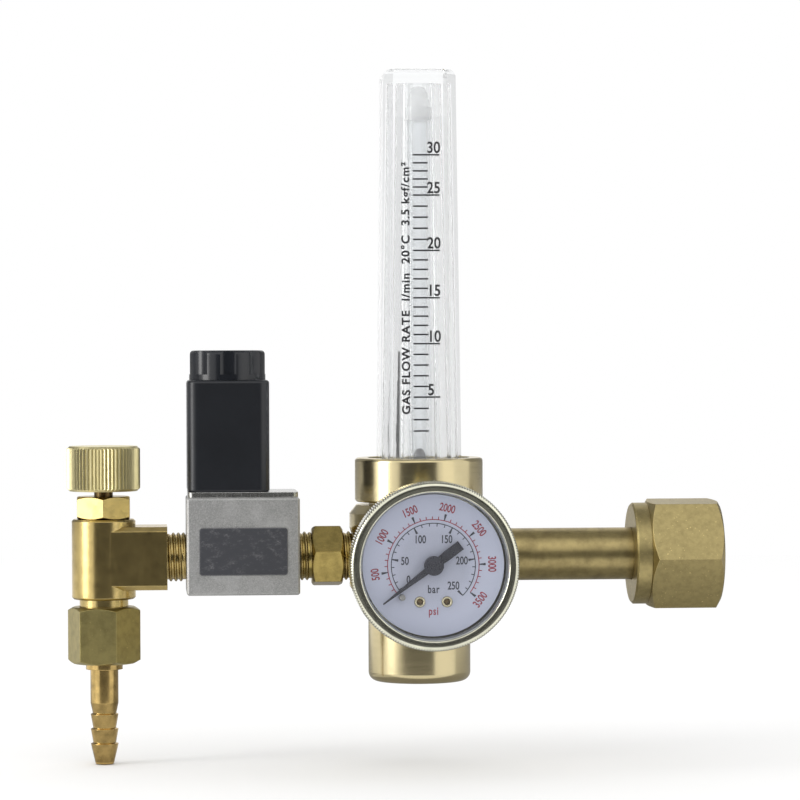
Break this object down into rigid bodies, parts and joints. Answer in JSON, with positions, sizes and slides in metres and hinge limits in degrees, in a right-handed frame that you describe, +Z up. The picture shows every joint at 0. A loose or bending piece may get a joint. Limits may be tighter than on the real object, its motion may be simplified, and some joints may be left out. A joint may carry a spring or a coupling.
{
  "type": "gas flow meter regulator",
  "caption": "Brass gas regulator with a clear upright flow tube and round contents gauge, an inlet nut, a solenoid shut-off valve and a needle valve ending in a hose tail.",
  "frame": {"origin": "middle of the inlet nut's mouth, on the axis of its thread", "axes": "+X out of the inlet nut, +Z up along the flow tube, -Y towards the gauge's viewer"},
  "size_m": [0.1753, 0.0725, 0.1851],
  "materials": {
    "polished_brass": "polished",
    "satin_brass": "satin, cast skin turned smooth",
    "bright_brass": "bright machined",
    "dull_brass": "satin machined",
    "warm_brass": "bright turned",
    "inner_brass": "machined",
    "sintered_bronze": "sintered",
    "clear_plastic": "clear moulded polycarbonate",
    "clear_tube": "clear moulded plastic",
    "steel": "turned",
    "nickel_plate": "satin nickel plate",
    "gauge_glass": "clear",
    "dial_white": "matt white",
    "pointer_black": "satin black",
    "block_metal": "fine blasted nickel plate",
    "coil_black": "satin black moulding",
    "copper_winding": "enamelled wire",
    "seal_rubber": "matt",
    "seal_nylon": "matt"
  },
  "bodies": {
    "frame": {"regulator_body": "polished_brass", "spring_bonnet": "polished_brass", "cover_nut": "polished_brass", "inlet_nipple": "satin_brass", "outlet_adapter": "satin_brass", "needle_valve_body": "bright_brass", "gland_nut": "bright_brass", "union_nut": "dull_brass", "hose_barb": "warm_brass", "tube_seat": "inner_brass", "valve_nozzle": "inner_brass", "passage_plug": "inner_brass", "gauge_stem": "inner_brass", "movement_frame": "inner_brass", "pressure_tube": "inner_brass", "spring_button": "inner_brass", "dial_eyelets": "inner_brass", "inlet_filter": "sintered_bronze", "flow_cover": "clear_plastic", "metering_tube": "clear_tube", "tube_stop": "clear_tube", "tube_guide_ring": "clear_tube", "pointer_stop_pin": "steel", "adjusting_screw": "steel", "regulating_spring": "steel", "poppet_spring": "steel", "plunger_spring": "steel", "armature_tube": "steel", "fixed_core": "steel", "coil_terminals": "steel", "coil_base_plate": "steel", "gauge_bezel": "nickel_plate", "gauge_case": "nickel_plate", "gauge_lens": "gauge_glass", "gauge_dial": "dial_white", "valve_block": "block_metal", "coil_housing": "coil_black", "coil_nut": "coil_black", "coil_winding": "copper_winding", "diaphragm": "seal_rubber", "cover_gasket": "seal_rubber", "tube_gasket": "seal_rubber", "valve_gasket": "seal_rubber", "union_gasket": "seal_rubber", "inlet_washer": "seal_nylon", "stem_packing": "seal_nylon", "lens_gasket": "seal_nylon"},
    "inlet_nut": {"inlet_nut": "satin_brass"},
    "float": {"float_ball": "steel"},
    "pointer": {"gauge_pointer": "pointer_black", "pointer_arbor": "steel"},
    "needle_stem": {"needle_stem": "inner_brass"},
    "control_knob": {"control_knob": "bright_brass"},
    "plunger": {"plunger": "steel", "plunger_seal": "seal_rubber"},
    "regulating_valve": {"valve_poppet": "inner_brass", "diaphragm_plate": "inner_brass"}
  },
  "joints": [
    {"name": "inlet_nut_turn", "type": "hinge", "parent": "frame", "child": "inlet_nut", "pos_m": [0, 0, 0], "axis": [1, 0, 0], "continuous": true},
    {"name": "float_rise", "type": "slide", "parent": "frame", "child": "float", "axis": [0, 0, 1], "range_m": [0, 0.0868]},
    {"name": "pointer_swing", "type": "hinge", "parent": "frame", "child": "pointer", "pos_m": [-0.081, -0.0465, 0], "axis": [0, 1, 0], "range_deg": [0, 263], "stiffness_Nm_per_rad": 0.0002, "springref_deg": -28.65},
    {"name": "needle_lift", "type": "slide", "parent": "frame", "child": "needle_stem", "axis": [0, 0, 1], "range_m": [-0.00112, 0.00225]},
    {"name": "knob_turn", "type": "hinge", "parent": "needle_stem", "child": "control_knob", "pos_m": [-0.1655, 0, 0.0238], "axis": [0, 0, 1], "range_deg": [-570, 1130]},
    {"name": "plunger_lift", "type": "slide", "parent": "frame", "child": "plunger", "axis": [0, 0, 1], "range_m": [0, 0.0017], "stiffness_N_per_m": 400, "springref_m": -0.004, "deforming": ["plunger_spring"]},
    {"name": "valve_stroke", "type": "slide", "parent": "frame", "child": "regulating_valve", "axis": [0, 0, 1], "range_m": [-0.0006, 0], "stiffness_N_per_m": 800, "springref_m": 0.006, "deforming": ["regulating_spring", "poppet_spring", "diaphragm"]}
  ],
  "couplings": [
    {"joint": "knob_turn", "follows": "needle_lift", "rad_per_m": 8377.6}
  ]
}
